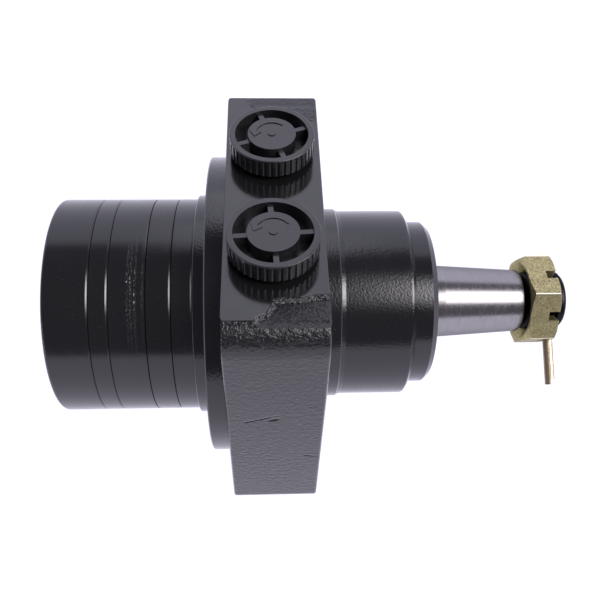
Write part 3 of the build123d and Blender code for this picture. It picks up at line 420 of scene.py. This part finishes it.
def moulded_plastic():
    """Satin black moulded plastic, finely grained."""
    look = Surface("plug_plastic", (0.014, 0.014, 0.015), 0.2)
    grain = look.noise(0.22, detail=2.0)
    flow = look.noise(5.0, detail=3.0)
    specks = dust(look, 0.45)
    rough = look.plus(look.remap(grain, 0.3, 0.7, 0.14, 0.22), look.remap(flow, 0.4, 0.7, 0.0, 0.08))
    colour = look.blend(look.remap(flow, 0.4, 0.7), (0.012, 0.012, 0.013), (0.019, 0.019, 0.020))
    colour = look.blend(look.times(specks, 0.3), colour, (0.08, 0.08, 0.08))
    return look.use(Base_Color=colour, Roughness=rough, Normal=look.bump(look.times(grain, PLASTIC_GRAIN)))


def rubber(name, base):
    """Moulded rubber or seal plastic, with a fine grain and a paler bloom."""
    look = Surface(name, base, 0.55)
    grain = look.noise(0.3, detail=3.0)
    bloom = look.patches(4.0, 0.45, 0.75, 0.0, 0.6, detail=3.0)
    pale = tuple(2.2 * channel for channel in base)
    return look.use(
        Base_Color=look.blend(bloom, base, pale),
        Roughness=look.remap(grain, 0.3, 0.7, 0.48, 0.62),
        Normal=look.bump(look.times(grain, RUBBER_GRAIN)),
    )


def paint_on(node_names, material):
    for name in node_names:
        slots = nodes[name].data.materials
        slots.clear()
        slots.append(material)


BODY_SEALS = [f"body_seal_{i}" for i in range(1, 6)]
STATOR_ROLLERS = [f"roller_{i}" for i in range(1, 8)]

paint_on([plate for plate in PLATES if plate != "manifold"], turned_paint("stack_paint"))
paint_on(["manifold"], turned_paint("manifold_paint", scored=True))
paint_on(["end_cover_bolts"], turned_paint("bolt_black", 0.34))
paint_on(["housing"], cast_paint())
paint_on(["output_shaft"], shaft_steel())
paint_on(["shaft_key"], plain_steel("key_steel", BARE_STEEL, 0.24))
paint_on(["slotted_nut"], plated("nut_zinc", (0.60, 0.53, 0.27), (0.20, 0.178, 0.09), 0.30, 0.12, NUT_HIGHLIGHT_FROM))
paint_on(["cotter_pin"], plated("pin_zinc", (0.52, 0.42, 0.29), (0.34, 0.27, 0.185), 0.42, 0.01))
paint_on(["port_plug_a", "port_plug_b"], moulded_plastic())
paint_on(["port_seal_a", "port_seal_b", "shaft_seal", "dust_seal"] + BODY_SEALS,
         rubber("seal_rubber", (0.014, 0.014, 0.014)))
paint_on(["commutator_seal"], rubber("seal_polymer", (0.06, 0.05, 0.04)))
paint_on(["rotor", "drive_link", "commutator"], plain_steel("hardened_steel", (0.3, 0.3, 0.31), 0.3))
paint_on(STATOR_ROLLERS + ["inner_bearing_needles", "outer_bearing_needles", "thrust_rollers"],
         plain_steel("roller_steel", (0.5, 0.5, 0.51), 0.14))
paint_on(["inner_bearing_cup", "outer_bearing_cup", "inner_bearing_cage", "outer_bearing_cage", "thrust_cage",
          "thrust_washer_shaft", "thrust_washer_housing", "backup_washer"],
         plain_steel("bearing_steel", (0.4, 0.4, 0.41), 0.24))


# --- floor and light ----------------------------------------------------------------------

FLOOR_DROP = 0.25                # metres, as is the size
FLOOR_SIZE = 12.0
FLOOR_GLOW = (1.0, 0.99, 1.20, 1.0)
FLOOR_GLOW_STRENGTH = 0.77
WHITE = (1.05, 1.04, 1.28)       # tent walls
DIM = (0.175, 0.165, 0.205)      # the open side of the tent, around the front
DIM_HALF_ANGLE = 67.0            # degrees
DIM_SOFTNESS = 5.0
BACKDROP = (1.1, 1.1, 1.15)      # what the camera sees of the tent directly
KEY = (11.5, 11.2, 11.8)         # large soft box over the shaft end
KEY_UP = math.radians(65.5)      # its height above the front horizon
KEY_SPREAD = (0.05, 0.48)        # tangents of its half height: full, and faded out
KEY_NEAR = (0.07, 0.46)          # where it begins, as the sine of the angle towards +X
KEY_FAR = (0.92, 0.98)           # where it ends, likewise
STRIP = (1.75, 1.73, 2.05)       # narrow soft box behind and above, straight over the flange
STRIP_UP = math.radians(52.5)    # its height above the rear horizon
STRIP_REACH = (12.0, 22.0)       # its half height in degrees: full, and faded out
STRIP_HALF = (0.08, 0.13)        # sines of its half width: full, and faded out
NEARLY_ZERO = 0.02               # the smallest divisor in the soft box's slant


def make_floor():
    look = Surface("floor", (0.24, 0.24, 0.25), 0.9, specular=0.1)
    mottle = look.noise(400.0, detail=2.0)
    look.use(Base_Color=look.blend(mottle, (0.235, 0.235, 0.245), (0.245, 0.245, 0.255)))
    look.shader.inputs["Emission Color"].default_value = FLOOR_GLOW
    look.shader.inputs["Emission Strength"].default_value = FLOOR_GLOW_STRENGTH
    bpy.ops.mesh.primitive_plane_add(size=FLOOR_SIZE, location=(0, 0, cad_low.z - FLOOR_DROP))
    floor = bpy.context.object
    floor.name = "floor"
    floor.data.materials.append(look.material)


class Sky(Graph):
    """The world's node tree, under construction."""

    def __init__(self):
        world = bpy.data.worlds.new("tent")
        bpy.context.scene.world = world
        world.use_nodes = True
        super().__init__(world.node_tree)
        self.ray = self.add("ShaderNodeTexCoord").outputs["Generated"]

    def along(self, direction):
        """Cosine of each direction to the given one."""
        return self.vector("DOT_PRODUCT", self.ray, direction)

    def fade(self, value, low, high):
        """0 below low, 1 above high; the other way round when low is the larger."""
        return self.remap(value, low, high, smooth=True)


def key_box(sky, sideways):
    """Share of the large soft box in each direction."""
    towards = sky.along((0.0, -math.cos(KEY_UP), math.sin(KEY_UP)))
    across = sky.along((0.0, math.sin(KEY_UP), math.cos(KEY_UP)))
    slant = sky.math("ABSOLUTE", sky.math("DIVIDE", across, sky.math("MAXIMUM", towards, NEARLY_ZERO)))
    return sky.times(sky.fade(slant, *reversed(KEY_SPREAD)), sky.fade(sideways, *KEY_NEAR),
                     sky.fade(sideways, *reversed(KEY_FAR)))


def strip_box(sky, sideways):
    """Share of the narrow soft box in each direction."""
    behind = sky.along((0.0, math.cos(STRIP_UP), math.sin(STRIP_UP)))
    full, faded = (math.cos(math.radians(angle)) for angle in STRIP_REACH)
    return sky.times(sky.fade(behind, faded, full),
                     sky.fade(sky.math("ABSOLUTE", sideways), *reversed(STRIP_HALF)))


def make_world():
    """A white tent, dim over a wide cone around the front, with two soft boxes."""
    sky = Sky()
    front = sky.along((0.0, -math.cos(CAMERA_DOWN), math.sin(CAMERA_DOWN)))
    open_side = sky.fade(front, math.cos(math.radians(DIM_HALF_ANGLE + DIM_SOFTNESS)),
                         math.cos(math.radians(DIM_HALF_ANGLE - DIM_SOFTNESS)))
    sideways = sky.along((1.0, 0.0, 0.0))
    tent = sky.blend(open_side, WHITE, DIM)
    light = sky.blend(key_box(sky, sideways), sky.blend(strip_box(sky, sideways), tent, STRIP), KEY)
    # seen directly, past the floor's edge, the tent is plain white all round
    seen = sky.add("ShaderNodeLightPath").outputs["Is Camera Ray"]
    sky.feed(sky.tree.nodes["Background"].inputs["Color"], sky.blend(seen, light, BACKDROP))


make_camera()
make_floor()
make_world()
bpy.context.scene.view_settings.view_transform = "Standard"
